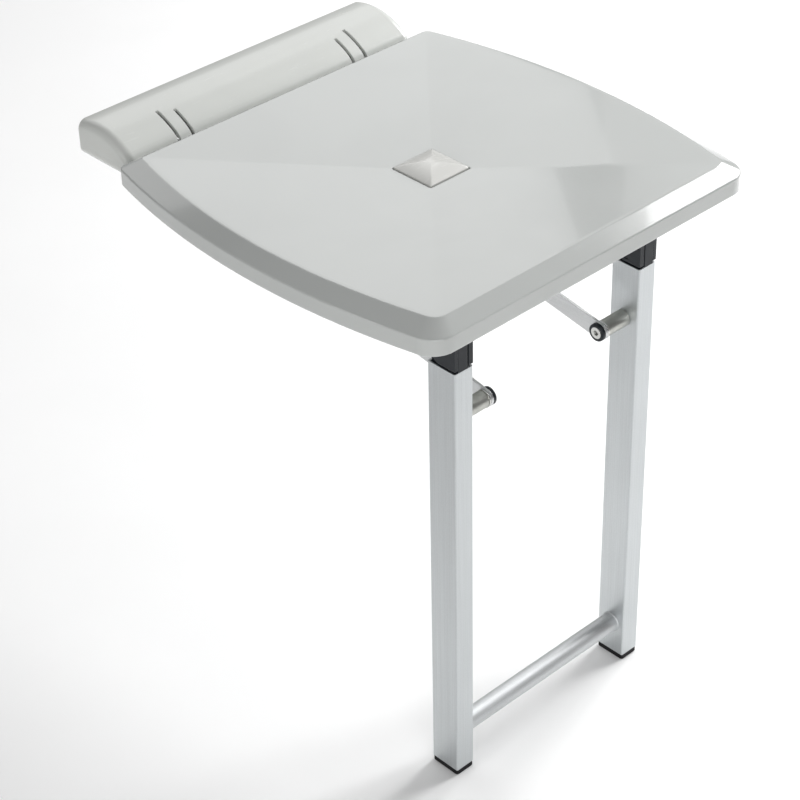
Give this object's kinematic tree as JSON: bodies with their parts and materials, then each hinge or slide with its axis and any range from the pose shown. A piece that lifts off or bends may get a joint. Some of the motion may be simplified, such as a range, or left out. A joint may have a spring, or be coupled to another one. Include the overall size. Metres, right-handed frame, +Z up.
{
  "type": "folding shower seat",
  "caption": "Wall-mounted shower seat with a dished barrel-shaped seat plate that folds up on a wall hinge while its two front legs stay upright on parallel links.",
  "frame": {"origin": "centre of the four wall fixings, on the face that bears on the wall, 467 mm above the floor", "axes": "+X to the sitter's left along the wall, +Y into the wall, +Z up; the seat projects along -Y"},
  "size_m": [0.4, 0.4425, 0.5115],
  "materials": {
    "seat_plastic": "glossy moulded light grey",
    "cover_plastic": "glossy moulded off-white",
    "leg_aluminium": "satin anodised",
    "bracket_steel": "light grey powder coat",
    "link_steel": "satin",
    "standoff_steel": "turned",
    "screw_steel": "plain",
    "dark_screw_steel": "blackened screws and pins",
    "black_plastic": "fine satin",
    "foot_rubber": "matt"
  },
  "bodies": {
    "wall_bracket": {"wall_plate": "bracket_steel", "wall_cover": "cover_plastic", "cover_screws": "screw_steel", "hinge_bracket_left": "bracket_steel", "hinge_bracket_right": "bracket_steel", "hinge_pin_left": "screw_steel", "hinge_pin_right": "screw_steel", "hinge_ring_left": "screw_steel", "hinge_ring_right": "screw_steel", "link_pin_left": "screw_steel", "link_pin_right": "screw_steel", "link_ring_left": "screw_steel", "link_ring_right": "screw_steel"},
    "seat": {"seat_shell": "seat_plastic", "centre_cap": "seat_plastic", "support_rail_left": "bracket_steel", "support_rail_right": "bracket_steel", "rail_screws_left": "screw_steel", "rail_screws_right": "screw_steel", "hinge_bush_left": "black_plastic", "hinge_bush_right": "black_plastic", "leg_bracket_left": "black_plastic", "leg_bracket_right": "black_plastic", "bracket_screws_left": "dark_screw_steel", "bracket_screws_right": "dark_screw_steel", "leg_pin_left": "dark_screw_steel", "leg_pin_right": "dark_screw_steel"},
    "leg_frame": {"cross_rung": "leg_aluminium", "leg_tube_left": "leg_aluminium", "leg_tube_right": "leg_aluminium", "leg_plug_left": "black_plastic", "leg_plug_right": "black_plastic", "foot_left": "foot_rubber", "foot_right": "foot_rubber", "standoff_left": "standoff_steel", "standoff_right": "standoff_steel", "link_washer_left": "screw_steel", "link_washer_right": "screw_steel", "link_cap_left": "black_plastic", "link_cap_right": "black_plastic", "link_screw_left": "screw_steel", "link_screw_right": "screw_steel"},
    "link_left": {"link_bar_left": "link_steel"},
    "link_right": {"link_bar_right": "link_steel"}
  },
  "joints": [
    {"name": "seat_fold", "type": "hinge", "parent": "wall_bracket", "child": "seat", "pos_m": [0, -0.038, 0.024], "axis": [-1, 0, 0], "range_deg": [0, 90]},
    {"name": "leg_fold", "type": "hinge", "parent": "seat", "child": "leg_frame", "pos_m": [0, -0.385, -0.037], "axis": [1, 0, 0], "range_deg": [0, 90]},
    {"name": "link_left_swing", "type": "hinge", "parent": "wall_bracket", "child": "link_left", "pos_m": [-0.09175, -0.038, -0.037], "axis": [-1, 0, 0], "range_deg": [0, 90]},
    {"name": "link_right_swing", "type": "hinge", "parent": "wall_bracket", "child": "link_right", "pos_m": [0.09175, -0.038, -0.037], "axis": [-1, 0, 0], "range_deg": [0, 90]}
  ],
  "couplings": [
    {"joint": "leg_fold", "follows": "seat_fold", "ratio": 1},
    {"joint": "link_left_swing", "follows": "seat_fold", "ratio": 1},
    {"joint": "link_right_swing", "follows": "seat_fold", "ratio": 1}
  ]
}
